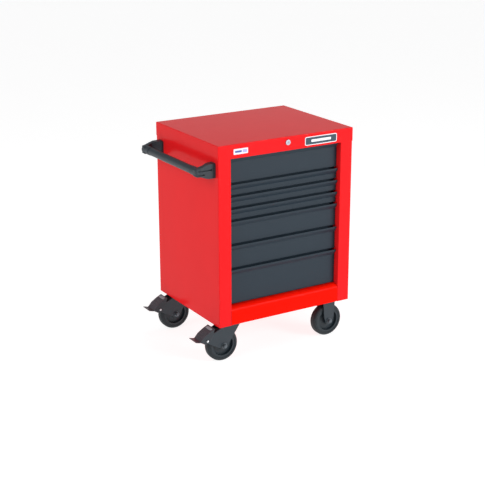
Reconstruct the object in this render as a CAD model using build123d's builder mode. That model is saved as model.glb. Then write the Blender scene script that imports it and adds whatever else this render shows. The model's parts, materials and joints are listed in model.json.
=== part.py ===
"""Seven-drawer steel roller cabinet on four casters, with a side handle.

Frame: +X to the right, +Y to the back, +Z up, origin on the floor under the centre of
the whole bounding box. Millimetres. Every finished piece is written to parts/.
"""
import os

from build123d import *

os.makedirs("parts", exist_ok=True)

# ---- overall size ------------------------------------------------------------------
cabinet_width = 690
cabinet_depth = 560
ground_gap = 176            # floor to the lower edge of the sheet-metal body
total_height = 990
sheet = 1.5                 # body sheet thickness
thin_sheet = 1.2            # drawer trays and back panel
bend = 3                    # centre-line bend radius of the body sheets

cabinet_x = 52              # centre plane of the cabinet body
front_y = -278              # front plane of the corner posts
back_y = front_y + cabinet_depth
left_x = cabinet_x - cabinet_width / 2
right_x = cabinet_x + cabinet_width / 2
body_top = total_height - sheet - 2   # upper edge of the folded walls, inside the cap

# ---- body openings -----------------------------------------------------------------
post_width = 62
opening_half = cabinet_width / 2 - post_width
return_depth = 50           # how far the inner edge of a post is folded back
header_height = 61
kick_height = 85
kick_curve = 24             # radius of the rounded upper edge of the kick plate
kick_flange = 15            # bottom flange of the kick plate
ledge_depth = 24            # level part of the ledge under the lowest drawer
post_fold = 24              # flange of the side wall along the back panel
pan_z = 190                 # underside of the floor pan, where the casters bolt on
pan_sheet = 2
pan_height = 24

# ---- drawers -----------------------------------------------------------------------
drawer_unit = 54.8
drawer_units = (2, 1, 1, 1, 2, 2, 3)
drawer_stack_bottom = total_height - 727.4
face_recess = 30            # drawer faces behind the corner posts
face_gap = 5                # gap between two drawer fronts
side_gap = 2.5
lip_reach = 12.25           # how far the pull stands out, to its centre line
lip_height = 7
pull_slope = 18             # height over which the face swings out to the pull
pocket_depth = 26
wall_setback = 18           # tray front wall behind the drawer face
tray_half = 270
tray_back_y = 240
rim_drop = 8                # tray rim below the top of the drawer's space
hook_half = 8               # half width of the drawer hooks and of the lock bar
hook_rise = 34              # drawer hook above the bottom of its space
hook_reach = 12
hook_drop = 13
prong_rise = 7              # lock bar hook above the bottom of the same space
prong_reach = 7             # its prong, behind the tray's back wall
prong_height = 12
face_y = front_y + face_recess
tray_front_y = face_y + wall_setback

# ---- telescopic slides -------------------------------------------------------------
slide_wall = 1.4
slide_half_height = 22
slide_rise = 27.4           # slide centre above the bottom of its drawer space
upright_face = 284          # inner face of the uprights, from the centre plane
upright_depth = 60
channel_depth = 12          # outer channel, web to lips
slide_front_y = tray_front_y + 3
slide_back_y = tray_back_y + 1

# ---- side handle -------------------------------------------------------------------
grip_radius = 17.5
socket_radius = 19
grip_reach = 74             # grip centre line out from the side panel
grip_z = total_height - 110
grip_x = left_x - grip_reach
flange_inset = 22           # flange edge from the front or back of the body
flange_width = 45
flange_top = total_height - 76
flange_bottom = total_height - 142
flange_thickness = 8
socket_inset = 27           # outer end of the grip socket from the front or back
socket_length = 62
screw_radius = 3
handle_screw_drop = 17      # screws above and below the flange centre

# ---- lock --------------------------------------------------------------------------
lock_z = total_height - 24.5
header_face_y = front_y - sheet
lock_front_y = header_face_y - 4
lock_body_radius = 9.5
plug_radius = 7
crank_throw = 10            # also the lift of the lock bar
fit = 0.05                  # radial running clearance

# ---- casters -----------------------------------------------------------------------
caster_inset = 57           # caster plate centre from the front or back
caster_offset = 258         # caster plate centre from the centre plane
trail = 49                  # swivel axis to wheel axle
wheel_radius = 76
wheel_half_width = 21
rim_radius = 60
plate_length = 114
plate_width = 102
plate_thickness = 4
bolt_x = 46
bolt_y = 38
bolt_radius = 5
axle_radius = 6
leg_inner = 25              # inner face of a fork leg from the wheel's mid-plane
leg_thickness = 4
leg_outer = leg_inner + leg_thickness
crown_z = 170
crown_top = 175.5
plate_z = pan_z - plate_thickness
pivot_dx = -134.5           # brake pedal pivot from the swivel axis
pivot_z = 116
pivot_radius = 4
cheek_thickness = 1.8
swivel_x = cabinet_x - caster_offset
rigid_x = cabinet_x + caster_offset
caster_rows = (("front", front_y + caster_inset), ("rear", back_y - caster_inset))


def save(piece, name):
    """Label one finished piece and write it to its own file."""
    piece.label = name
    export_step(piece, f"parts/{name}.step")


def sheet_section(points, radius, thickness):
    """Section of a folded sheet whose centre line runs through the points."""
    with BuildSketch() as section:
        with BuildLine():
            FilletPolyline(*points, radius=radius)
        trace(line_width=thickness)
    return section.sketch


def drawer_spaces():
    """Bottom and top height of each drawer's space, from the top drawer down."""
    spaces = []
    top = drawer_stack_bottom + drawer_unit * sum(drawer_units)
    for units in drawer_units:
        spaces.append((top - units * drawer_unit, top))
        top -= units * drawer_unit
    spaces[0] = (spaces[0][0], total_height - header_height + 3)
    return spaces


# ---- cabinet body ------------------------------------------------------------------
def side_panel(side):
    """Side wall, corner post and post return folded from one sheet (side is -1 or 1)."""
    half = sheet / 2
    wall = cabinet_x + side * (cabinet_width / 2 - half)
    inner = cabinet_x + side * (opening_half + half)
    outline = [
        (wall - side * post_fold, back_y - half),
        (wall, back_y - half),
        (wall, front_y + half),
        (inner, front_y + half),
        (inner, front_y + return_depth),
    ]
    with BuildPart() as panel:
        with BuildSketch(Plane.XY.offset(ground_gap)):
            add(sheet_section(outline, bend, sheet))
        extrude(amount=body_top - ground_gap)
        with BuildSketch(Plane.XY.offset(ground_gap)):
            with Locations((inner, front_y + return_depth / 2 + 4)):
                Rectangle(8, return_depth)
        extrude(amount=pan_z + pan_sheet + 1 - ground_gap, mode=Mode.SUBTRACT)
        if side < 0:
            with BuildSketch(Plane.YZ.offset(left_x - 1)):
                with Locations(*handle_screw_places()):
                    Circle(screw_radius + fit)
            extrude(amount=sheet + 2, mode=Mode.SUBTRACT)
    return panel.part


def handle_screw_places():
    """Y, Z places of the four handle screws in the left side panel."""
    middle_z = (flange_top + flange_bottom) / 2
    middle = flange_inset + flange_width / 2
    return [
        (y, middle_z + rise)
        for y in (front_y + middle, back_y - middle)
        for rise in (-handle_screw_drop, handle_screw_drop)
    ]


def top_panel():
    """Top sheet with a deep folded edge that caps the body on all four sides."""
    with BuildPart() as cap:
        with BuildSketch(Plane.XY.offset(total_height)):
            with Locations((cabinet_x, (front_y + back_y) / 2)):
                RectangleRounded(cabinet_width + 2 * sheet, cabinet_depth + 2 * sheet, 4)
        extrude(amount=-header_height)
        fillet(cap.faces().sort_by(Axis.Z)[-1].edges(), 3)
        offset(amount=-sheet, openings=cap.faces().sort_by(Axis.Z)[0])
        with BuildSketch(Plane.XZ.offset(-front_y - 2)):
            with Locations((cabinet_x, lock_z)):
                Circle(lock_body_radius + fit)
        extrude(amount=6, mode=Mode.SUBTRACT)
    return cap.part


def back_panel():
    """Back sheet with two welded guide clips for the lock bar."""
    clip_reach = 22
    clip_inner = 9.5
    with BuildPart() as panel:
        with BuildSketch(Plane.XZ.offset(-(back_y - sheet))):
            with Locations((cabinet_x, (ground_gap + body_top) / 2)):
                Rectangle(cabinet_width - 2 * sheet - 8, body_top - ground_gap - 1)
        extrude(amount=thin_sheet)
        for z in (330, 870):
            for side in (-1, 1):
                with BuildSketch(Plane.XY.offset(z)):
                    x = cabinet_x + side * (clip_inner + sheet / 2)
                    y = back_y - sheet - thin_sheet
                    with Locations((x, y - clip_reach / 2)):
                        Rectangle(sheet, clip_reach)
                extrude(amount=16)
    return panel.part


def kick_plate():
    """Front rail under the drawers: bottom flange, face and a broadly rounded ledge."""
    half = sheet / 2
    face = front_y + half
    flange_z = ground_gap + half
    ledge_z = ground_gap + kick_height - half
    with BuildPart() as rail:
        with BuildSketch(Plane.YZ.offset(cabinet_x - opening_half + 0.2)):
            with BuildLine():
                FilletPolyline(
                    (front_y + kick_flange, flange_z),
                    (face, flange_z),
                    (face, ledge_z - kick_curve),
                    radius=bend,
                )
                JernArc((face, ledge_z - kick_curve), (0, 1), kick_curve, -90)
                Line((face + kick_curve, ledge_z), (face_y + ledge_depth, ledge_z))
            trace(line_width=sheet)
        extrude(amount=2 * opening_half - 0.4)
    return rail.part


def caster_places():
    """X, Y centre of every caster plate."""
    return [(x, y) for x in (swivel_x, rigid_x) for _, y in caster_rows]


def caster_bolt_places():
    """X, Y of the sixteen caster bolts."""
    return [
        (x + i * bolt_x, y + j * bolt_y)
        for x, y in caster_places()
        for i in (-1, 1)
        for j in (-1, 1)
    ]


def base_pan():
    """Floor pan with a raised edge, drilled for the caster bolts."""
    front_gap = 4
    side_clearance = 4
    with BuildPart() as pan:
        with BuildSketch(Plane.XY.offset(pan_z)):
            with Locations((cabinet_x, (front_y + back_y) / 2)):
                Rectangle(cabinet_width - 2 * side_clearance, cabinet_depth - 2 * front_gap)
        extrude(amount=pan_height)
        offset(amount=-pan_sheet, openings=pan.faces().sort_by(Axis.Z)[-1])
        with BuildSketch(Plane.XY.offset(pan_z + pan_sheet)):
            with Locations((cabinet_x, front_y + return_depth / 2)):
                Rectangle(cabinet_width, return_depth + 4)
        extrude(amount=pan_height, mode=Mode.SUBTRACT)
        with BuildSketch(Plane.XY.offset(pan_z - 1)):
            with Locations(*caster_bolt_places()):
                Circle(bolt_radius)
        extrude(amount=pan_sheet + 2, mode=Mode.SUBTRACT)
    return pan.part


def slide_uprights():
    """Four folded uprights that carry the drawer slides."""
    half = sheet / 2
    wall = cabinet_width / 2 - sheet
    face = upright_face + half
    bottom = pan_z + pan_height + 0.5
    with BuildPart() as uprights:
        for side in (-1, 1):
            for y in (face_y + upright_depth, tray_back_y - 100):
                outline = [
                    (cabinet_x + side * wall, y),
                    (cabinet_x + side * face, y),
                    (cabinet_x + side * face, y + upright_depth),
                    (cabinet_x + side * wall, y + upright_depth),
                ]
                with BuildSketch(Plane.XY.offset(bottom)):
                    add(sheet_section(outline, bend, sheet))
                extrude(amount=body_top - bottom)
    return uprights.part


# ---- drawers and slides ------------------------------------------------------------
def channel_sections(z, web, reach, half_height):
    """Sections of a left and a right C-channel, web at a distance from the centre plane.

    A negative reach opens the channels towards the drawer, a positive one away from it.
    """
    middle = web + reach / 2
    hollow = middle + (slide_wall if reach > 0 else -slide_wall)
    with BuildSketch() as sections:
        with Locations((cabinet_x - middle, z), (cabinet_x + middle, z)):
            Rectangle(abs(reach), 2 * half_height)
        with Locations((cabinet_x - hollow, z), (cabinet_x + hollow, z)):
            Rectangle(abs(reach), 2 * (half_height - slide_wall), mode=Mode.SUBTRACT)
    return sections.sketch


def slide_pair(z, web, reach, half_height, front, back):
    """The left and right channel of one slide stage."""
    with BuildPart() as pair:
        with BuildSketch(Plane.XZ.offset(-front)):
            add(channel_sections(z, web, reach, half_height))
        extrude(amount=-(back - front))
    return pair.part


def outer_slides(spaces):
    """The fixed outer channels of all seven slide pairs."""
    with BuildPart() as outer:
        with BuildSketch(Plane.XZ.offset(-slide_front_y)):
            for bottom, _ in spaces:
                add(channel_sections(bottom + slide_rise, upright_face, -channel_depth,
                                     slide_half_height))
        extrude(amount=-(slide_back_y - slide_front_y))
    return outer.part


def drawer(bottom, top, is_lowest):
    """Tray with its front: face, full-width pull, finger pocket and lock hook."""
    half = sheet / 2
    face_half = opening_half - side_gap
    face_bottom = bottom + (1 if is_lowest else face_gap / 2) + half
    lip_top = top - face_gap / 2
    pull_root = lip_top - lip_height - pull_slope
    floor_z = face_bottom + half
    skin = [
        (tray_front_y, face_bottom),
        (face_y + half, face_bottom),
        (face_y + half, pull_root),
        (face_y + half - lip_reach, lip_top - lip_height),
        (face_y + half - lip_reach, lip_top),
    ]
    pocket = [
        (face_y + 1, lip_top - pocket_depth),
        (tray_front_y + half, lip_top - pocket_depth),
        (tray_front_y + half, top + face_gap / 2 - 3),
    ]
    hook_z = bottom + hook_rise
    hook = [
        (tray_back_y - 0.5, hook_z),
        (tray_back_y + hook_reach, hook_z),
        (tray_back_y + hook_reach, hook_z - hook_drop),
    ]
    with BuildPart() as tray:
        with BuildSketch(Plane.YZ.offset(cabinet_x - face_half)):
            add(sheet_section(skin, 2, sheet))
            add(sheet_section(pocket, 2, sheet))
        extrude(amount=2 * face_half)
        tray_height = top - rim_drop - floor_z
        with BuildSketch(Plane.XY.offset(floor_z - sheet)):
            with Locations((cabinet_x, (tray_front_y + tray_back_y) / 2)):
                Rectangle(2 * tray_half, tray_back_y - tray_front_y)
        extrude(amount=tray_height)
        with BuildSketch(Plane.XY.offset(floor_z - sheet + thin_sheet)):
            with Locations((cabinet_x, (tray_front_y + sheet + tray_back_y - thin_sheet) / 2)):
                Rectangle(2 * (tray_half - thin_sheet),
                          tray_back_y - tray_front_y - sheet - thin_sheet)
        extrude(amount=tray_height, mode=Mode.SUBTRACT)
        with BuildSketch(Plane.YZ.offset(cabinet_x - hook_half)):
            add(sheet_section(hook, 2, sheet))
        extrude(amount=2 * hook_half)
    return tray.part


# ---- side handle -------------------------------------------------------------------
def front_bracket():
    """Moulded handle bracket: flange, grooved arm and the socket that takes the grip."""
    socket_y = front_y + socket_inset
    flange_y = front_y + flange_inset
    arm_plan = [
        (left_x - 4, flange_y + 3),
        (grip_x + 4, flange_y + 3),
        (grip_x - socket_radius + 4, flange_y + 7),
        (grip_x - socket_radius, flange_y + 16),
        (grip_x - socket_radius + 1, flange_y + 34),
        (grip_x + 14, flange_y + 27),
        (left_x - 48, flange_y + 24),
        (left_x - 26, flange_y + 34),
        (left_x - 4, flange_y + flange_width - 3),
    ]
    arm_side = [
        (left_x, flange_top - 1),
        (left_x - 34, flange_top - 2),
        (left_x - 50, flange_top - 7),
        (grip_x + 2, grip_z + socket_radius),
        (grip_x - socket_radius + 6, grip_z + socket_radius - 2),
        (grip_x - socket_radius, grip_z + socket_radius - 9),
        (grip_x - socket_radius, grip_z - socket_radius + 6),
        (grip_x - socket_radius + 6, grip_z - socket_radius + 1),
        (grip_x + 4, grip_z - socket_radius + 1),
        (left_x - 50, flange_bottom + 6),
        (left_x - 32, flange_bottom + 1),
        (left_x, flange_bottom + 1),
    ]
    slot_plan = [
        (left_x - 16, flange_y - 2),
        (grip_x - 8, flange_y - 2),
        (grip_x - 8, flange_y + 10),
        (left_x - 16, flange_y + 12),
    ]
    with BuildPart() as bracket:
        with BuildSketch(Plane.XY.offset(flange_bottom)):
            with BuildLine():
                Polyline(*arm_plan, close=True)
            make_face()
            fillet(vertices(), 2.5)
        extrude(amount=flange_top - flange_bottom)
        with BuildSketch(Plane.XZ.offset(-front_y)) as side_view:
            with BuildLine():
                Polyline(*arm_side, close=True)
            make_face()
            fillet(side_view.vertices(), 2.5)
        extrude(amount=-cabinet_depth / 2, mode=Mode.INTERSECT)
        with BuildSketch(Plane.YZ.offset(left_x - flange_thickness)):
            with Locations((flange_y + flange_width / 2, (flange_top + flange_bottom) / 2)):
                RectangleRounded(flange_width, flange_top - flange_bottom, 9)
        extrude(amount=flange_thickness)
        with BuildSketch(Plane((grip_x, socket_y, grip_z))) as socket:
            Rectangle(socket_radius, socket_length, align=(Align.MIN, Align.MIN))
            fillet(socket.vertices().sort_by(Axis.Y)[:2].sort_by(Axis.X)[-1], 6)
        revolve(axis=Axis((grip_x, socket_y, grip_z), (0, 1, 0)))
        for low, high, reach in ((4, 10, 0), (-13, -8, 34)):
            with BuildSketch(Plane.XY.offset(grip_z + low)):
                with BuildLine():
                    Polyline(*[(min(x, left_x - 16 - reach), y) for x, y in slot_plan], close=True)
                make_face()
            extrude(amount=high - low, mode=Mode.SUBTRACT)
        with BuildSketch(Plane.XZ.offset(-(socket_y + 14))):
            with Locations((grip_x, grip_z)):
                Circle(grip_radius + fit)
        extrude(amount=-socket_length, mode=Mode.SUBTRACT)
        with BuildSketch(Plane.YZ.offset(left_x)):
            with Locations(*handle_screw_places()[:2]):
                Circle(screw_radius + fit)
        extrude(amount=-16, mode=Mode.SUBTRACT)
    return bracket.part


def handle_grip():
    """Straight tube between the two sockets."""
    start = front_y + socket_inset + 16
    length = cabinet_depth - 2 * (socket_inset + 16)
    with BuildPart() as grip:
        with BuildSketch(Plane.XZ.offset(-start)):
            with Locations((grip_x, grip_z)):
                Circle(grip_radius)
                Circle(grip_radius - 2, mode=Mode.SUBTRACT)
        extrude(amount=-length)
    return grip.part


def handle_screws():
    """Four hexagon screws, put in from inside the cabinet."""
    head_radius = 5.5
    head_height = 4
    with BuildPart() as screws:
        with BuildSketch(Plane.YZ.offset(left_x + sheet)):
            with Locations(*handle_screw_places()):
                RegularPolygon(head_radius, 6)
        extrude(amount=head_height)
        with BuildSketch(Plane.YZ.offset(left_x + sheet)):
            with Locations(*handle_screw_places()):
                Circle(screw_radius)
        extrude(amount=-(sheet + 14))
    return screws.part


# ---- lock, badge and label ---------------------------------------------------------
def lock_housing():
    """Round bezel and body of the cylinder lock in the header."""
    with BuildPart() as housing:
        with BuildSketch(Plane.XZ.offset(-header_face_y)):
            with Locations((cabinet_x, lock_z)):
                Circle(13)
        extrude(amount=4, taper=14)
        with BuildSketch(Plane.XZ.offset(-header_face_y)):
            with Locations((cabinet_x, lock_z)):
                Circle(lock_body_radius)
        extrude(amount=-26)
        with BuildSketch(Plane.XZ.offset(-lock_front_y)):
            with Locations((cabinet_x, lock_z)):
                Circle(plug_radius + fit)
        extrude(amount=-40, mode=Mode.SUBTRACT)
    return housing.part


def lock_plug():
    """Key plug with its keyway, and the crank on its inner end."""
    crank_y = header_face_y + 26.5
    with BuildPart() as plug:
        with BuildSketch(Plane.XZ.offset(-(lock_front_y + 0.5))):
            with Locations((cabinet_x, lock_z)):
                Circle(plug_radius)
        extrude(amount=-(crank_y - lock_front_y))
        with BuildSketch(Plane.XZ.offset(-(lock_front_y + 0.5))):
            with Locations((cabinet_x, lock_z)):
                Rectangle(1.8, 8.5)
        extrude(amount=-12, mode=Mode.SUBTRACT)
        with BuildSketch(Plane.XZ.offset(-crank_y)):
            with Locations((cabinet_x - crank_throw / 2, lock_z)):
                SlotCenterToCenter(crank_throw, 2 * plug_radius)
        extrude(amount=-3)
        with BuildSketch(Plane.XZ.offset(-crank_y)):
            with Locations((cabinet_x - crank_throw, lock_z)):
                Circle(3)
        extrude(amount=-12)
    return plug.part


def lock_bar(spaces):
    """Lifting bar: slotted end plate at the lock, arm to the back, upright with hooks."""
    plate_y = header_face_y + 32
    plate_half = 12
    bar_y = tray_back_y + 25
    arm_z = lock_z + plate_half - 1
    with BuildPart() as bar:
        with BuildSketch(Plane.XZ.offset(-plate_y)):
            with Locations((cabinet_x - crank_throw / 2, lock_z)):
                Rectangle(38, 2 * plate_half)
                Rectangle(24, 13, mode=Mode.SUBTRACT)
        extrude(amount=-3)
        with BuildSketch(Plane.XY.offset(arm_z - 2)):
            with Locations((cabinet_x, (plate_y + bar_y) / 2)):
                Rectangle(2 * hook_half, bar_y - plate_y)
        extrude(amount=3)
        foot = spaces[-1][0] + 4
        with BuildSketch(Plane.XY.offset(foot)):
            with Locations((cabinet_x, bar_y - 1.5)):
                Rectangle(2 * hook_half, 3)
        extrude(amount=arm_z + 1 - foot)
        for bottom, _ in spaces:
            hook = [
                (bar_y - 2, bottom + prong_rise),
                (tray_back_y + prong_reach, bottom + prong_rise),
                (tray_back_y + prong_reach, bottom + prong_rise + prong_height),
            ]
            with BuildSketch(Plane.YZ.offset(cabinet_x - hook_half + 1)):
                add(sheet_section(hook, 2, sheet))
            extrude(amount=2 * hook_half - 2)
    return bar.part


def header_plate(offset_x, drop, width, height, thickness, corner):
    """Small rounded plate stuck on the header."""
    with BuildPart() as plate:
        with BuildSketch(Plane.XZ.offset(-header_face_y)):
            with Locations((cabinet_x + offset_x, total_height - drop)):
                RectangleRounded(width, height, corner)
        extrude(amount=thickness)
    return plate.part


# ---- casters -----------------------------------------------------------------------
def caster_bolts():
    """Sixteen bolts through the floor pan and the caster plates."""
    with BuildPart() as bolts:
        with BuildSketch(Plane.XY.offset(pan_z + pan_sheet)):
            with Locations(*caster_bolt_places()):
                RegularPolygon(8, 6)
        extrude(amount=5)
        with BuildSketch(Plane.XY.offset(plate_z)):
            with Locations(*caster_bolt_places()):
                RegularPolygon(8, 6)
        extrude(amount=-6)
        with BuildSketch(Plane.XY.offset(plate_z - 8)):
            with Locations(*caster_bolt_places()):
                Circle(bolt_radius - fit)
        extrude(amount=pan_z + pan_sheet - plate_z + 8)
    return bolts.part


def plate_outline(x, y):
    """Outline of a caster's drilled top plate."""
    with BuildSketch() as outline:
        with Locations((x, y)):
            RectangleRounded(plate_length, plate_width, 8)
            with GridLocations(2 * bolt_x, 2 * bolt_y, 2, 2):
                Circle(bolt_radius, mode=Mode.SUBTRACT)
    return outline.sketch


def swivel_plate(y):
    """Top plate, race cup and king pin of a swivel caster."""
    with BuildPart() as plate:
        with BuildSketch(Plane.XY.offset(plate_z)):
            add(plate_outline(swivel_x, y))
        extrude(amount=plate_thickness)
        with BuildSketch(Plane.XY.offset(crown_top + 0.5)):
            with Locations((swivel_x, y)):
                Circle(34)
        extrude(amount=plate_z - crown_top - 0.5)
        with BuildSketch(Plane.XY.offset(crown_z - 6)):
            with Locations((swivel_x, y)):
                Circle(8)
        extrude(amount=plate_z - crown_z + 6)
        with BuildSketch(Plane.XY.offset(crown_z - 0.5)):
            with Locations((swivel_x, y)):
                RegularPolygon(13, 6)
        extrude(amount=-6)
    return plate.part


def swivel_fork(y):
    """Swivelling fork: crown and two broad legs that reach out to the brake pivot."""
    with BuildPart() as fork:
        with BuildSketch(Plane.XY.offset(crown_z)):
            with Locations((swivel_x, y)):
                Circle(37)
                Rectangle(70, 2 * leg_outer)
        extrude(amount=crown_top - crown_z)
        for start in (y - leg_outer, y + leg_inner):
            with BuildSketch(Plane.XZ.offset(-start)):
                with Locations((swivel_x, crown_top - 4)):
                    Rectangle(68, 8)
                with Locations((swivel_x - trail, wheel_radius)):
                    Circle(17)
                with Locations((swivel_x + pivot_dx, pivot_z)):
                    Circle(11)
                make_hull()
                with Locations((swivel_x - trail, wheel_radius)):
                    Circle(axle_radius, mode=Mode.SUBTRACT)
                with Locations((swivel_x + pivot_dx, pivot_z)):
                    Circle(pivot_radius, mode=Mode.SUBTRACT)
            extrude(amount=-leg_thickness)
        with BuildSketch(Plane.XY.offset(crown_z)):
            with Locations((swivel_x, y)):
                Circle(8 + fit)
        extrude(amount=crown_top - crown_z, mode=Mode.SUBTRACT)
    return fork.part


def rigid_bracket(y):
    """Top plate and two straight legs of a rigid caster."""
    with BuildPart() as bracket:
        with BuildSketch(Plane.XY.offset(plate_z)):
            add(plate_outline(rigid_x, y))
        extrude(amount=plate_thickness)
        for start in (y - leg_outer, y + leg_inner):
            with BuildSketch(Plane.XZ.offset(-start)):
                with Locations((rigid_x, plate_z - 3)):
                    Rectangle(64, 6)
                with Locations((rigid_x, wheel_radius + 26)):
                    Rectangle(54, 8)
                with Locations((rigid_x, wheel_radius)):
                    Circle(18)
                make_hull()
                with Locations((rigid_x, wheel_radius)):
                    Circle(axle_radius, mode=Mode.SUBTRACT)
            extrude(amount=-leg_thickness)
    return bracket.part


def axle_hardware(x, y, with_pivot):
    """Axle bolt with washer and nut, and on a braked caster the pedal rivet."""
    shank = (-leg_outer - 14, leg_outer + 1, axle_radius)
    washer = (-leg_outer - 2, -leg_outer, 13)
    head = (leg_outer, leg_outer + 7, 10)
    nut = (-leg_outer - 12, -leg_outer - 2, 10)
    with BuildPart() as hardware:
        for start, end, radius in (shank, washer):
            with BuildSketch(Plane.XZ.offset(-(y + start))):
                with Locations((x, wheel_radius)):
                    Circle(radius)
            extrude(amount=-(end - start))
        for start, end, radius in (head, nut):
            with BuildSketch(Plane.XZ.offset(-(y + start))):
                with Locations((x, wheel_radius)):
                    RegularPolygon(radius, 6)
            extrude(amount=-(end - start))
        if with_pivot:
            rivet_half = leg_outer + cheek_thickness + 0.6
            pivot_x = swivel_x + pivot_dx
            with BuildSketch(Plane.XZ.offset(-(y - rivet_half))):
                with Locations((pivot_x, pivot_z)):
                    Circle(pivot_radius)
            extrude(amount=-2 * rivet_half)
            for start in (-rivet_half - 2, rivet_half):
                with BuildSketch(Plane.XZ.offset(-(y + start))):
                    with Locations((pivot_x, pivot_z)):
                        Circle(6.5)
                extrude(amount=-2)
    return hardware.part


def wheel_core(x, y):
    """Wheel centre: hub, dished web and rim, as a body of revolution."""
    half_profile = [
        (axle_radius + fit, 0),
        (axle_radius + fit, 23),
        (19, 23),
        (22, 9),
        (47, 7),
        (50, 19),
        (rim_radius, 19),
        (rim_radius, 0),
    ]
    with BuildPart() as core:
        with BuildSketch(Plane((x, y, wheel_radius))):
            with BuildLine():
                Polyline(*half_profile, close=True)
            make_face()
            mirror(about=Plane((0, 0, 0), x_dir=(1, 0, 0), z_dir=(0, 1, 0)))
        revolve(axis=Axis((x, y, wheel_radius), (0, 1, 0)))
    return core.part


def tyre(x, y):
    """Solid tyre with rounded shoulders."""
    with BuildPart() as ring:
        with BuildSketch(Plane((x, y, wheel_radius))) as section:
            with Locations(((rim_radius + wheel_radius) / 2, 0)):
                Rectangle(wheel_radius - rim_radius, 2 * wheel_half_width)
            fillet(section.vertices().group_by(Axis.X)[-1], 13)
        revolve(axis=Axis((x, y, wheel_radius), (0, 1, 0)))
    return ring.part


def brake_pedal(y):
    """Brake pedal: curved tread plate, two cheeks on the pivot and the shoe between them."""
    px = swivel_x
    tread = [
        (px - 97, 165.5),
        (px - 121, 154),
        (px - 148, 137),
        (px - 167, 115),
        (px - 192.1, 121.5),
    ]
    cheek = [
        (px - 99, 163),
        (px - 148, 136),
        (px - 167, 114),
        (px - 147, 102),
        (px - 126, 104),
        (px - 104, 138),
    ]
    shoe = [
        (px - 128, 149),
        (px - 148, 136),
        (px - 148, 104),
        (px - 127.5, 97.5),
        (px - 121, 116),
    ]
    half_width = leg_outer + 0.4 + cheek_thickness
    with BuildPart() as pedal:
        with BuildSketch(Plane.XZ.offset(-(y - half_width))):
            add(sheet_section(tread, 8, 3))
        extrude(amount=-2 * half_width)
        for start in (-half_width, leg_outer + 0.4):
            with BuildSketch(Plane.XZ.offset(-(y + start))) as cheek_face:
                with BuildLine():
                    Polyline(*cheek, close=True)
                make_face()
                fillet(cheek_face.vertices().sort_by(Axis.Y)[0:2], 6)
            extrude(amount=-cheek_thickness)
        with BuildSketch(Plane.XZ.offset(-(y - 16))):
            with BuildLine():
                Polyline(*shoe, close=True)
            make_face()
        extrude(amount=-32)
        with BuildSketch(Plane.XZ.offset(-(y - half_width - 1))):
            with Locations((px + pivot_dx, pivot_z)):
                Circle(pivot_radius + fit)
        extrude(amount=-2 * half_width - 2, mode=Mode.SUBTRACT)
    return pedal.part


# ---- write every piece -------------------------------------------------------------
all_spaces = drawer_spaces()

save(side_panel(-1), "side_panel_left")
save(side_panel(1), "side_panel_right")
save(top_panel(), "top_panel")
save(back_panel(), "back_panel")
save(kick_plate(), "kick_plate")
save(base_pan(), "base_pan")
save(slide_uprights(), "slide_uprights")
save(outer_slides(all_spaces), "slide_outer_channels")

bracket_front = front_bracket()
save(bracket_front, "handle_bracket_front")
handle_mid = Plane((0, (front_y + back_y) / 2, 0), x_dir=(1, 0, 0), z_dir=(0, 1, 0))
save(bracket_front.mirror(handle_mid), "handle_bracket_rear")
save(handle_grip(), "handle_grip")
save(handle_screws(), "handle_screws")

save(lock_housing(), "lock_housing")
save(lock_plug(), "lock_plug")
save(lock_bar(all_spaces), "lock_bar")
save(header_plate(173, 33, 168, 38, 2, 8), "name_plate")
save(header_plate(-236, 33, 71, 24, 0.4, 2), "label_plate")

for number, (low, high) in enumerate(all_spaces, start=1):
    slide_z = low + slide_rise
    save(drawer(low, high, number == len(all_spaces)), f"drawer_{number}")
    save(slide_pair(slide_z, tray_half, 9.8, 17.4, slide_front_y + 1, slide_back_y - 1.5),
         f"drawer_{number}_slide_inner")
    save(slide_pair(slide_z, upright_face - 2, -9.4, 19.6, slide_front_y + 1, slide_back_y - 1),
         f"drawer_{number}_slide_middle")

save(caster_bolts(), "caster_bolts")
for row, row_y in caster_rows:
    wheel_x = swivel_x - trail
    save(swivel_plate(row_y), f"caster_{row}_left_plate")
    save(swivel_fork(row_y), f"caster_{row}_left_fork")
    save(axle_hardware(wheel_x, row_y, True), f"caster_{row}_left_axle")
    save(wheel_core(wheel_x, row_y), f"caster_{row}_left_core")
    save(tyre(wheel_x, row_y), f"caster_{row}_left_tyre")
    save(brake_pedal(row_y), f"caster_{row}_left_pedal")
    save(rigid_bracket(row_y), f"caster_{row}_right_bracket")
    save(axle_hardware(rigid_x, row_y, False), f"caster_{row}_right_axle")
    save(wheel_core(rigid_x, row_y), f"caster_{row}_right_core")
    save(tyre(rigid_x, row_y), f"caster_{row}_right_tyre")
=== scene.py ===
import json
import math

import bmesh
import bpy
from mathutils import Matrix, Vector


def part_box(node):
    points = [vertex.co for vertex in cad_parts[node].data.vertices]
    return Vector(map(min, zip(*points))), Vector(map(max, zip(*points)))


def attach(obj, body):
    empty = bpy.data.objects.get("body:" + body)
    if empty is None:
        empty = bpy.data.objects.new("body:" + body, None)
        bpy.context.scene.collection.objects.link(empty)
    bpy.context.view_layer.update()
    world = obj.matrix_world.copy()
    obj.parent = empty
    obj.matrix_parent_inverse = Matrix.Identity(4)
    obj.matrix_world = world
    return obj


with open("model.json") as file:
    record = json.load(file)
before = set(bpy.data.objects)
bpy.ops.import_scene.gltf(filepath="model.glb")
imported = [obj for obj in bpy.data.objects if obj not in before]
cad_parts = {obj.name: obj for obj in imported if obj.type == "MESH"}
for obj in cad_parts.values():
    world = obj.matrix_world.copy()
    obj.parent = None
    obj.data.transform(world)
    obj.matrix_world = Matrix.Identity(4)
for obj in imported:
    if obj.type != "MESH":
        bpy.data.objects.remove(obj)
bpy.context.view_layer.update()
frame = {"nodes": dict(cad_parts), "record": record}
nodes = frame["nodes"]
scene = bpy.context.scene
scene.view_settings.view_transform = "Standard"


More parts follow.
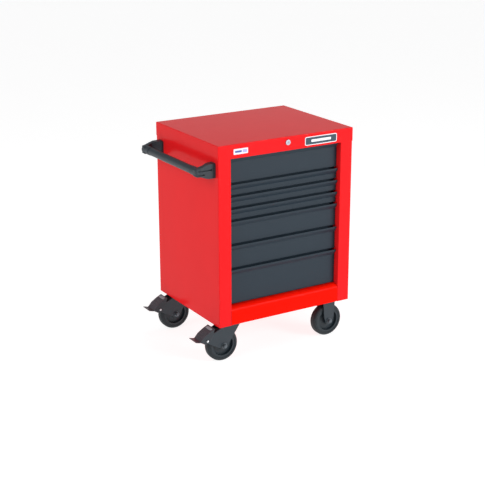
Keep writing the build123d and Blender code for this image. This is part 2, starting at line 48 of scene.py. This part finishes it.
# ---- camera ------------------------------------------------------------------------
CAMERA_PLACE = (-2.7260, -4.4897, 2.1757)
CAMERA_TURN = (0.544399, -0.318808, -0.0025812)     # yaw, pitch and roll in radians
CAMERA_SENSOR = 36                                  # millimetres
CAMERA_LENS = 89.17
FAR_LIMIT = 200


def add_camera():
    """Camera at the front left, looking slightly down, with no shift."""
    yaw, pitch, roll = CAMERA_TURN
    forward = Vector((math.sin(yaw) * math.cos(pitch), math.cos(yaw) * math.cos(pitch),
                      math.sin(pitch)))
    level_right = forward.cross(Vector((0, 0, 1))).normalized()
    level_up = level_right.cross(forward)
    right = math.cos(roll) * level_right + math.sin(roll) * level_up
    up = -math.sin(roll) * level_right + math.cos(roll) * level_up
    data = bpy.data.cameras.new("camera")
    data.sensor_width = CAMERA_SENSOR
    data.lens = CAMERA_LENS
    data.clip_end = FAR_LIMIT
    cam = bpy.data.objects.new("camera", data)
    turn = Matrix((right, up, -forward)).transposed()
    cam.matrix_world = Matrix.Translation(CAMERA_PLACE) @ turn.to_4x4()
    scene.collection.objects.link(cam)
    scene.camera = cam


add_camera()


# ---- light and floor ---------------------------------------------------------------
SKY = ((0.0, 1.0), (0.10, 0.95), (0.20, 0.48), (0.6, 0.26))    # height and brightness
BLUE_CAST = 1.01


def area_light(name, place, target, size, power):
    """Round white lamp at a place, turned to a target."""
    data = bpy.data.lights.new(name, "AREA")
    data.shape = "DISK"
    data.size = size
    data.energy = power
    lamp = bpy.data.objects.new(name, data)
    direction = Vector(target) - Vector(place)
    lamp.matrix_world = (Matrix.Translation(place)
                         @ direction.to_track_quat("-Z", "Y").to_matrix().to_4x4())
    scene.collection.objects.link(lamp)


def add_world():
    """Soft surroundings: white along the horizon, grey overhead."""
    world = bpy.data.worlds.new("studio")
    scene.world = world
    world.use_nodes = True
    tree = world.node_tree
    background = tree.nodes["Background"]
    coords = tree.nodes.new("ShaderNodeTexCoord")
    split = tree.nodes.new("ShaderNodeSeparateXYZ")
    ramp = tree.nodes.new("ShaderNodeValToRGB")
    steps = ramp.color_ramp.elements
    steps[1].position = SKY[-1][0]
    for height, _ in SKY[1:-1]:
        steps.new(height)
    for step, (_, grey) in zip(steps, SKY):
        step.color = (grey, grey, grey * BLUE_CAST, 1)
    tree.links.new(coords.outputs["Generated"], split.inputs[0])
    tree.links.new(split.outputs["Z"], ramp.inputs["Fac"])
    tree.links.new(ramp.outputs["Color"], background.inputs["Color"])
    background.inputs["Strength"].default_value = 1.0


add_world()
area_light("key", (2.6, -4.6, 2.4), (0.05, -0.2, 0.55), size=2.4, power=190)
area_light("fill", (-4.0, -1.0, 3.2), (-0.3, 0.0, 0.8), size=2.2, power=60)
area_light("top", (0.4, 0.6, 4.6), (0.0, 0.0, 0.9), size=1.8, power=28)


# ---- materials ---------------------------------------------------------------------
MICRON = 0.000001
FLAT_EDGE, SHARP_EDGE = 0.985, 0.72     # how far the bevelled normal agrees with the face
NOISE_LOW, NOISE_HIGH = 0.3, 0.7        # most of a noise lies between these values


class Shader:
    """Small helper round one material's node tree."""

    def __init__(self, name):
        self.material = bpy.data.materials.new(name)
        self.material.use_nodes = True
        self.tree = self.material.node_tree
        self.bsdf = self.tree.nodes["Principled BSDF"]
        self.coords = self.node("ShaderNodeTexCoord").outputs["Object"]

    def node(self, kind, **settings):
        made = self.tree.nodes.new(kind)
        for key, value in settings.items():
            setattr(made, key, value)
        return made

    def link(self, source, target):
        self.tree.links.new(source, target)

    def set(self, **values):
        for key, value in values.items():
            self.bsdf.inputs[key.replace("_", " ")].default_value = value
        return self

    def noise(self, scale, detail=3, roughness=0.5, coords=None):
        made = self.node("ShaderNodeTexNoise")
        made.inputs["Scale"].default_value = scale
        made.inputs["Detail"].default_value = detail
        made.inputs["Roughness"].default_value = roughness
        self.link(coords or self.coords, made.inputs["Vector"])
        return made.outputs["Fac"]

    def stretch(self, factors):
        made = self.node("ShaderNodeMapping")
        made.inputs["Scale"].default_value = factors
        self.link(self.coords, made.inputs["Vector"])
        return made.outputs["Vector"]

    def span(self, value, low, high, start=0.0, end=1.0):
        """value from start..end mapped to low..high."""
        made = self.node("ShaderNodeMapRange")
        made.inputs["From Min"].default_value = start
        made.inputs["From Max"].default_value = end
        made.inputs["To Min"].default_value = low
        made.inputs["To Max"].default_value = high
        self.link(value, made.inputs["Value"])
        return made.outputs["Result"]

    def blend(self, factor, first, second):
        made = self.node("ShaderNodeMix", data_type="RGBA")
        self.link(factor, made.inputs["Factor"])
        for value, slot in ((first, made.inputs[6]), (second, made.inputs[7])):
            if isinstance(value, tuple):
                slot.default_value = (*value, 1)
            else:
                self.link(value, slot)
        return made.outputs[2]

    def edges(self, radius):
        """1 along sharp edges within the radius, 0 on flat faces."""
        bevel = self.node("ShaderNodeBevel", samples=4)
        bevel.inputs["Radius"].default_value = radius
        geometry = self.node("ShaderNodeNewGeometry")
        dot = self.node("ShaderNodeVectorMath", operation="DOT_PRODUCT")
        self.link(bevel.outputs["Normal"], dot.inputs[0])
        self.link(geometry.outputs["Normal"], dot.inputs[1])
        return self.span(dot.outputs["Value"], 1.0, 0.0, SHARP_EDGE, FLAT_EDGE)

    def bump(self, height, distance, strength=1.0):
        made = self.node("ShaderNodeBump")
        made.inputs["Strength"].default_value = strength
        made.inputs["Distance"].default_value = distance
        self.link(height, made.inputs["Height"])
        self.link(made.outputs["Normal"], self.bsdf.inputs["Normal"])

    def colour(self, value):
        self.link(value, self.bsdf.inputs["Base Color"])

    def rough(self, noise, low, high):
        """Roughness between low and high, after a noise."""
        value = self.span(noise, low, high, NOISE_LOW, NOISE_HIGH)
        self.link(value, self.bsdf.inputs["Roughness"])


def darker(shade, share):
    return tuple(channel * share for channel in shade)


def enamel(name, shade, lighter, roughness, specular, peel):
    """Baked enamel on sheet steel: even colour, orange peel, thinner paint at the edges."""
    s = Shader(name)
    s.set(Specular_IOR_Level=specular)
    tone = s.blend(s.noise(7, 2), shade, darker(shade, 0.93))
    s.colour(s.blend(s.span(s.edges(0.0012), 0, 0.5), tone, lighter))
    s.rough(s.noise(22, 4), roughness - 0.03, roughness + 0.05)
    s.bump(s.noise(420, 2), peel)
    return s.material


def moulded(name, shade, lighter, roughness, grain_scale, grain_depth):
    """Moulded plastic or powder-coated cast part with a fine eroded grain."""
    s = Shader(name)
    s.set(Specular_IOR_Level=0.45)
    tone = s.blend(s.noise(30, 3), shade, darker(shade, 0.8))
    s.colour(s.blend(s.span(s.edges(0.0015), 0, 0.55), tone, lighter))
    s.rough(s.noise(160, 3), roughness - 0.07, roughness + 0.08)
    s.bump(s.noise(grain_scale, 3, 0.65), grain_depth)
    return s.material


def zinc(name, shade, roughness):
    """Zinc-plated steel: faint drawn lines and cloudy plating."""
    s = Shader(name)
    s.set(Metallic=1.0)
    cloud = s.noise(45, 5, 0.6)
    s.colour(s.blend(s.span(cloud, 0, 1, 0.35, 0.65), shade, darker(shade, 0.82)))
    s.rough(s.noise(90, 4), roughness - 0.08, roughness + 0.1)
    s.bump(s.noise(260, 2, 0.5, s.stretch((1, 0.03, 1))), 40 * MICRON)
    return s.material


RED = (0.82, 0.013, 0.016)
RED_EDGE = (0.95, 0.03, 0.03)
red_enamel = enamel("red_enamel", RED, RED_EDGE, roughness=0.15, specular=0.06,
                    peel=10 * MICRON)
# Kick plate: the same red paint with less gloss; its deeper, more saturated base colour is
# painted light, copying how the kick shows less reflected white.
kick_enamel_painted_no_sheen = enamel("kick_enamel_painted_no_sheen", (0.86, 0.006, 0.0008), RED_EDGE, roughness=0.3,
                     specular=0.03, peel=10 * MICRON)
drawer_enamel = enamel("drawer_enamel", (0.017, 0.029, 0.042), (0.06, 0.075, 0.09),
                       roughness=0.38, specular=0.26, peel=20 * MICRON)
black_paint = moulded("black_paint", (0.019, 0.030, 0.040), (0.07, 0.08, 0.09),
                      roughness=0.42, grain_scale=700, grain_depth=30 * MICRON)
moulded_plastic = moulded("moulded_plastic", (0.018, 0.029, 0.039), (0.05, 0.06, 0.07),
                          roughness=0.46, grain_scale=1400, grain_depth=50 * MICRON)
wheel_poly = moulded("wheel_poly", (0.011, 0.020, 0.028), (0.030, 0.040, 0.048),
                     roughness=0.45, grain_scale=900, grain_depth=30 * MICRON)
tyre_rubber = moulded("tyre_rubber", (0.007, 0.013, 0.018), (0.020, 0.027, 0.032),
                      roughness=0.62, grain_scale=520, grain_depth=60 * MICRON)
pedal_grip = moulded("pedal_grip", (0.34, 0.35, 0.38), (0.45, 0.46, 0.48),
                     roughness=0.5, grain_scale=600, grain_depth=50 * MICRON)


def painted_pedal():
    """Worn grey-violet paint on the tread, darker paint on the two cheeks."""
    s = Shader("pedal_paint")
    s.set(Specular_IOR_Level=0.4)
    worn = s.blend(s.noise(60, 4), (0.085, 0.070, 0.085), (0.050, 0.042, 0.052))
    split = s.node("ShaderNodeSeparateXYZ")
    s.link(s.node("ShaderNodeTexCoord").outputs["Normal"], split.inputs[0])
    flat = s.node("ShaderNodeMath", operation="ABSOLUTE")
    s.link(split.outputs["Y"], flat.inputs[0])
    cheek = s.span(flat.outputs[0], 0, 1, 0.6, 0.9)
    tone = s.blend(cheek, worn, (0.022, 0.028, 0.036))
    s.colour(s.blend(s.span(s.edges(0.0015), 0, 0.6), tone, (0.18, 0.16, 0.18)))
    s.rough(s.noise(160, 3), 0.32, 0.48)
    s.bump(s.noise(800, 3, 0.65), 30 * MICRON)
    return s.material


pedal_paint = painted_pedal()
zinc_steel = zinc("zinc_steel", (0.62, 0.63, 0.66), 0.34)
dark_zinc = zinc("dark_zinc", (0.15, 0.17, 0.19), 0.5)
rivet_steel = zinc("rivet_steel", (0.75, 0.76, 0.78), 0.3)
lock_chrome = zinc("lock_chrome", (0.55, 0.54, 0.62), 0.2)


def printed(name, shade, roughness=0.35):
    """Printed or moulded plate face with a slight film texture."""
    s = Shader(name)
    s.set(Specular_IOR_Level=0.4)
    s.colour(s.blend(s.noise(60, 3), shade, darker(shade, 0.9)))
    s.rough(s.noise(200, 2), roughness - 0.05, roughness + 0.06)
    s.bump(s.noise(1800, 2), 10 * MICRON)
    return s.material


plate_white = printed("plate_white", (0.86, 0.88, 0.92))
plate_field = printed("plate_field", (0.030, 0.060, 0.085), 0.4)
label_white = printed("label_white", (0.80, 0.80, 0.90))
label_blue = printed("label_blue", (0.05, 0.09, 0.36))
label_violet = printed("label_violet", (0.45, 0.40, 0.75))

SLOT_LOOKS = {
    "red_enamel": red_enamel, "drawer_enamel": drawer_enamel, "zinc_steel": zinc_steel,
    "black_paint": black_paint, "moulded_plastic": moulded_plastic, "lock_chrome": lock_chrome,
    "plate_print": plate_white, "label_white": label_white, "tyre_rubber": tyre_rubber,
    "wheel_poly": wheel_poly,
}
NODE_LOOKS = {"kick_plate": kick_enamel_painted_no_sheen, "pedal": pedal_paint, "axle": dark_zinc}
for part in frame["record"]["subparts"]:
    node = part["node"]
    ending = node if node in NODE_LOOKS else node.split("_")[-1]
    look = NODE_LOOKS.get(ending, SLOT_LOOKS[part["material_slot"]])
    data = nodes[node].data
    if not data.materials:
        data.materials.append(look)
    for index in range(len(data.materials)):
        data.materials[index] = look


# ---- floor -------------------------------------------------------------------------
FLOOR_HALF = 400
FLOOR_GLOW = 0.84


def add_floor():
    """Large pale floor that glows faintly, so that the shadows stay light."""
    mesh = bmesh.new()
    bmesh.ops.create_grid(mesh, x_segments=1, y_segments=1, size=FLOOR_HALF)
    data = bpy.data.meshes.new("floor")
    mesh.to_mesh(data)
    mesh.free()
    floor = bpy.data.objects.new("floor", data)
    scene.collection.objects.link(floor)
    s = Shader("floor_white")
    s.set(Roughness=0.7, Specular_IOR_Level=0.1, Emission_Strength=FLOOR_GLOW)
    s.bsdf.inputs["Emission Color"].default_value = (1, 1, 1, 1)
    s.colour(s.blend(s.noise(3, 2), (0.34, 0.34, 0.34), (0.33, 0.33, 0.33)))
    data.materials.append(s.material)


add_floor()


# ---- mesh helpers ------------------------------------------------------------------
SMOOTH_ANGLE = math.radians(35)     # edges flatter than this are shaded smooth
CORNER_STEPS = 6
TURN_STEPS = 28
LEAST_CORNER = 0.0002


def finish_mesh(mesh, name, look, body):
    """Turn a bmesh into a piece that rides on a body and takes the given finish."""
    bmesh.ops.recalc_face_normals(mesh, faces=mesh.faces)
    for face in mesh.faces:
        face.smooth = True
    for edge in mesh.edges:
        edge.smooth = len(edge.link_faces) == 2 and edge.calc_face_angle(0) < SMOOTH_ANGLE
    data = bpy.data.meshes.new(name)
    mesh.to_mesh(data)
    mesh.free()
    data.materials.append(look)
    piece = bpy.data.objects.new(name, data)
    scene.collection.objects.link(piece)
    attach(piece, body)
    return piece


def rounded_outline(width, height, corner):
    """Points of a rounded rectangle round (0, 0), anticlockwise."""
    points = []
    for cx, cz, start in ((1, 1, 0), (-1, 1, 90), (-1, -1, 180), (1, -1, 270)):
        for k in range(CORNER_STEPS + 1):
            a = math.radians(start + 90 * k / CORNER_STEPS)
            points.append((cx * (width / 2 - corner) + corner * math.cos(a),
                           cz * (height / 2 - corner) + corner * math.sin(a)))
    return points


def close_rings(mesh, rings):
    """Walls between neighbouring rings of points, and a cap at each end."""
    count = len(rings[0])
    for low, high in zip(rings, rings[1:]):
        for k in range(count):
            j = (k + 1) % count
            mesh.faces.new((low[k], low[j], high[j], high[k]))
    mesh.faces.new(rings[0])
    mesh.faces.new(rings[-1])


def pad(name, look, place, size, corner, thickness, axes, soft=0.0003):
    """Closed rounded pad: size along two axes, rising by its thickness along the third."""
    body, slot, origin = place
    along, across, rise = (Vector(axis) for axis in axes)
    mesh = bmesh.new()
    rings = []
    for height, inset in ((0, 0.0), (thickness - soft, 0.0), (thickness, soft)):
        outline = rounded_outline(size[0] - 2 * inset, size[1] - 2 * inset,
                                  max(corner - inset, LEAST_CORNER))
        rings.append([mesh.verts.new(Vector(origin) + u * along + v * across + height * rise)
                      for u, v in outline])
    close_rings(mesh, rings)
    return finish_mesh(mesh, name, look, body)


def turned(name, look, place, profile, rise):
    """Closed body of revolution: profile of (radius, height) points, rising along one axis."""
    body, slot, origin = place
    rise = Vector(rise)
    along = rise.orthogonal().normalized()
    across = rise.cross(along)
    mesh = bmesh.new()
    rings = []
    for radius, height in profile:
        rings.append([mesh.verts.new(Vector(origin) + height * rise
                                     + radius * (math.cos(a) * along + math.sin(a) * across))
                      for a in (math.tau * k / TURN_STEPS for k in range(TURN_STEPS))])
    close_rings(mesh, rings)
    return finish_mesh(mesh, name, look, body)


# ---- plates on the header ----------------------------------------------------------
HEADER_AXES = ((1, 0, 0), (0, 0, 1), (0, -1, 0))
PLATE_BORDER = 0.00325
SINK = 0.0001                       # step by which backs lie behind the plate's face


def add_header_plates():
    """Field and bar of the name plate, and two tinted bars on the small label."""
    low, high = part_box("name_plate")
    x, z = (low[0] + high[0]) / 2, (low[2] + high[2]) / 2
    width, height = high[0] - low[0], high[2] - low[2]
    face = low[1]
    pad("name_plate_field", plate_field,
        ("cabinet", "plate_print", (x, face + 4 * SINK, z)),
        (width - 2 * PLATE_BORDER, height - 2 * PLATE_BORDER), 0.0055, 0.0008, HEADER_AXES)
    pad("name_plate_bar", plate_white,
        ("cabinet", "plate_print", (x, face + 2 * SINK, z)),
        (width * 0.62, height * 0.30), 0.0028, 0.0010, HEADER_AXES)
    low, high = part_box("label_plate")
    x, z = (low[0] + high[0]) / 2, (low[2] + high[2]) / 2
    width, height = high[0] - low[0], high[2] - low[2]
    face = low[1]
    pad("label_bar_blue", label_blue,
        ("cabinet", "label_white", (x - width * 0.17, face + SINK, z)),
        (width * 0.46, height * 0.34), 0.0016, 0.0003, HEADER_AXES, soft=0.0001)
    pad("label_bar_violet", label_violet,
        ("cabinet", "label_white", (x + width * 0.27, face + SINK, z)),
        (width * 0.30, height * 0.52), 0.0016, 0.0003, HEADER_AXES, soft=0.0001)


add_header_plates()


# ---- brake pedals ------------------------------------------------------------------
PEDAL_TIP = -0.1921                 # outer end of the tread line, from the swivel axis
TREAD_LINE = ((-0.167, 0.115), (-0.148, 0.137), (-0.121, 0.154), (-0.097, 0.1655))
TREAD_HALF = 0.0015                 # half the tread's thickness
RIVET_DX, RIVET_Z = -0.1345, 0.116
RIVET_STAND = 0.0024                # back of a rivet head from the outside of the cheek
RIVET_HEAD = ((0.0052, 0.0), (0.0052, 0.0010), (0.0044, 0.0021), (0.0026, 0.0028),
              (0.0009, 0.0030))
PAD_SEAT = 0.0006                   # how far pads and ribs go into the tread
PAD_PLACE = (2, 0.55)               # part of the tread line, and share of its length
PAD_LENGTH, PAD_MARGIN = 0.013, 0.009
RIB_LENGTH, RIB_MARGIN = 0.0035, 0.007
RIB_PLACES = ((0, 0.42), (0, 0.72), (1, 0.22), (1, 0.45), (1, 0.68))


def add_pedal_details(row):
    """Rubber pad and tread ribs on a pedal, and the two heads of its pivot rivet."""
    body = f"caster_{row}_left_pedal"
    low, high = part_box(f"caster_{row}_left_pedal")
    middle = (low[1] + high[1]) / 2
    swivel_x = low[0] - PEDAL_TIP
    half = (high[1] - low[1]) / 2

    def on_tread(segment, share):
        """Point and axes on the upper face of one straight part of the tread."""
        (x0, z0), (x1, z1) = TREAD_LINE[segment], TREAD_LINE[segment + 1]
        along = Vector((x1 - x0, 0, z1 - z0)).normalized()
        rise = Vector((-along.z, 0, along.x))
        place = Vector((swivel_x + x0 + share * (x1 - x0), middle, z0 + share * (z1 - z0)))
        return place + (TREAD_HALF - PAD_SEAT) * rise, (along, Vector((0, 1, 0)), rise)

    origin, axes = on_tread(*PAD_PLACE)
    pad(f"pedal_pad_{row}", pedal_grip, (body, "black_paint", origin),
        (PAD_LENGTH, 2 * (half - PAD_MARGIN)), 0.003, 0.0030, axes, soft=0.0009)
    for k, (segment, share) in enumerate(RIB_PLACES):
        origin, axes = on_tread(segment, share)
        pad(f"pedal_rib_{row}_{k}", pedal_paint, (body, "black_paint", origin),
            (RIB_LENGTH, 2 * (half - RIB_MARGIN)), 0.0016, 0.0020, axes, soft=0.0008)
    for side, sign in (("outer", -1), ("inner", 1)):
        centre = (swivel_x + RIVET_DX, middle + sign * (half + RIVET_STAND), RIVET_Z)
        turned(f"pedal_rivet_{row}_{side}", rivet_steel,
               (f"caster_{row}_left_swivel", "zinc_steel", centre), RIVET_HEAD, (0, sign, 0))


add_pedal_details("front")
add_pedal_details("rear")
